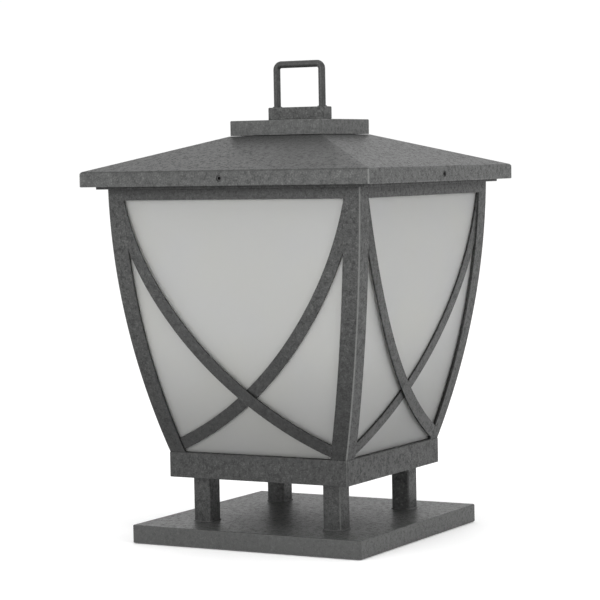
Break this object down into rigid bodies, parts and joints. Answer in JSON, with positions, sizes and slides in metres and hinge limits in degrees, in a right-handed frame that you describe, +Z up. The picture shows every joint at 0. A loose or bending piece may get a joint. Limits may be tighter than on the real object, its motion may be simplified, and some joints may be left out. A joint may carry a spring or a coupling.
{
  "type": "garden lantern",
  "caption": "Square metal garden lantern in a stone-effect finish: frosted panels in a curved cage with crossed straps, hipped lift-off roof with carry handle, posts on a base pan.",
  "frame": {"origin": "on the ground under the centre of the base", "axes": "+Z up; the front face looks along -Y and the right face along +X"},
  "size_m": [0.27, 0.27, 0.4028],
  "materials": {
    "stone_finish_metal": "grey-brown textured stone-effect coating",
    "frosted_panel": "frosted, warm white",
    "black_rubber": "matt",
    "dark_screw_steel": "blackened",
    "terminal_plastic": "off-white",
    "lampholder_ceramic": "white glaze",
    "lamp_cap_metal": "bright",
    "opal_lamp_glass": "opal"
  },
  "bodies": {
    "lantern_body": {"base_pan": "stone_finish_metal", "bottom_tray": "stone_finish_metal", "top_frame": "stone_finish_metal", "terminal_block": "terminal_plastic", "base_grommet": "black_rubber", "tray_grommet": "black_rubber", "supply_cable": "black_rubber", "lamp_lead": "black_rubber", "lampholder": "lampholder_ceramic", "holder_screw_left": "dark_screw_steel", "holder_screw_right": "dark_screw_steel", "foot_pad_front": "black_rubber", "foot_pad_right": "black_rubber", "foot_pad_back": "black_rubber", "foot_pad_left": "black_rubber", "post_front": "stone_finish_metal", "post_right": "stone_finish_metal", "post_back": "stone_finish_metal", "post_left": "stone_finish_metal", "rib_front": "stone_finish_metal", "rib_right": "stone_finish_metal", "rib_back": "stone_finish_metal", "rib_left": "stone_finish_metal", "strap_front_over": "stone_finish_metal", "strap_front_under": "stone_finish_metal", "strap_right_over": "stone_finish_metal", "strap_right_under": "stone_finish_metal", "strap_back_over": "stone_finish_metal", "strap_back_under": "stone_finish_metal", "strap_left_over": "stone_finish_metal", "strap_left_under": "stone_finish_metal", "panel_front": "frosted_panel", "panel_right": "frosted_panel", "panel_back": "frosted_panel", "panel_left": "frosted_panel", "panel_stop_front": "stone_finish_metal", "panel_stop_right": "stone_finish_metal", "panel_stop_back": "stone_finish_metal", "panel_stop_left": "stone_finish_metal"},
    "roof": {"roof_shell": "stone_finish_metal", "roof_tier": "stone_finish_metal", "handle_block": "stone_finish_metal", "carry_handle": "stone_finish_metal", "block_screw_left": "dark_screw_steel", "block_screw_right": "dark_screw_steel", "roof_nut_front": "dark_screw_steel", "roof_nut_right": "dark_screw_steel", "roof_nut_back": "dark_screw_steel", "roof_nut_left": "dark_screw_steel"},
    "lamp": {"lamp_cap": "lamp_cap_metal", "lamp_bulb": "opal_lamp_glass"},
    "roof_screw_front": {"roof_screw_front": "dark_screw_steel"},
    "roof_screw_right": {"roof_screw_right": "dark_screw_steel"},
    "roof_screw_back": {"roof_screw_back": "dark_screw_steel"},
    "roof_screw_left": {"roof_screw_left": "dark_screw_steel"}
  },
  "joints": [
    {"name": "roof_lift", "type": "slide", "parent": "lantern_body", "child": "roof", "axis": [0, 0, 1], "range_m": [0, 0.06]},
    {"name": "lamp_withdraw", "type": "slide", "parent": "lantern_body", "child": "lamp", "axis": [0, 0, 1], "range_m": [0, 0.035]},
    {"name": "roof_screw_front_withdraw", "type": "slide", "parent": "roof", "child": "roof_screw_front", "axis": [0, -1, 0], "range_m": [0, 0.01]},
    {"name": "roof_screw_right_withdraw", "type": "slide", "parent": "roof", "child": "roof_screw_right", "axis": [1, 0, 0], "range_m": [0, 0.01]},
    {"name": "roof_screw_back_withdraw", "type": "slide", "parent": "roof", "child": "roof_screw_back", "axis": [0, 1, 0], "range_m": [0, 0.01]},
    {"name": "roof_screw_left_withdraw", "type": "slide", "parent": "roof", "child": "roof_screw_left", "axis": [-1, 0, 0], "range_m": [0, 0.01]}
  ]
}
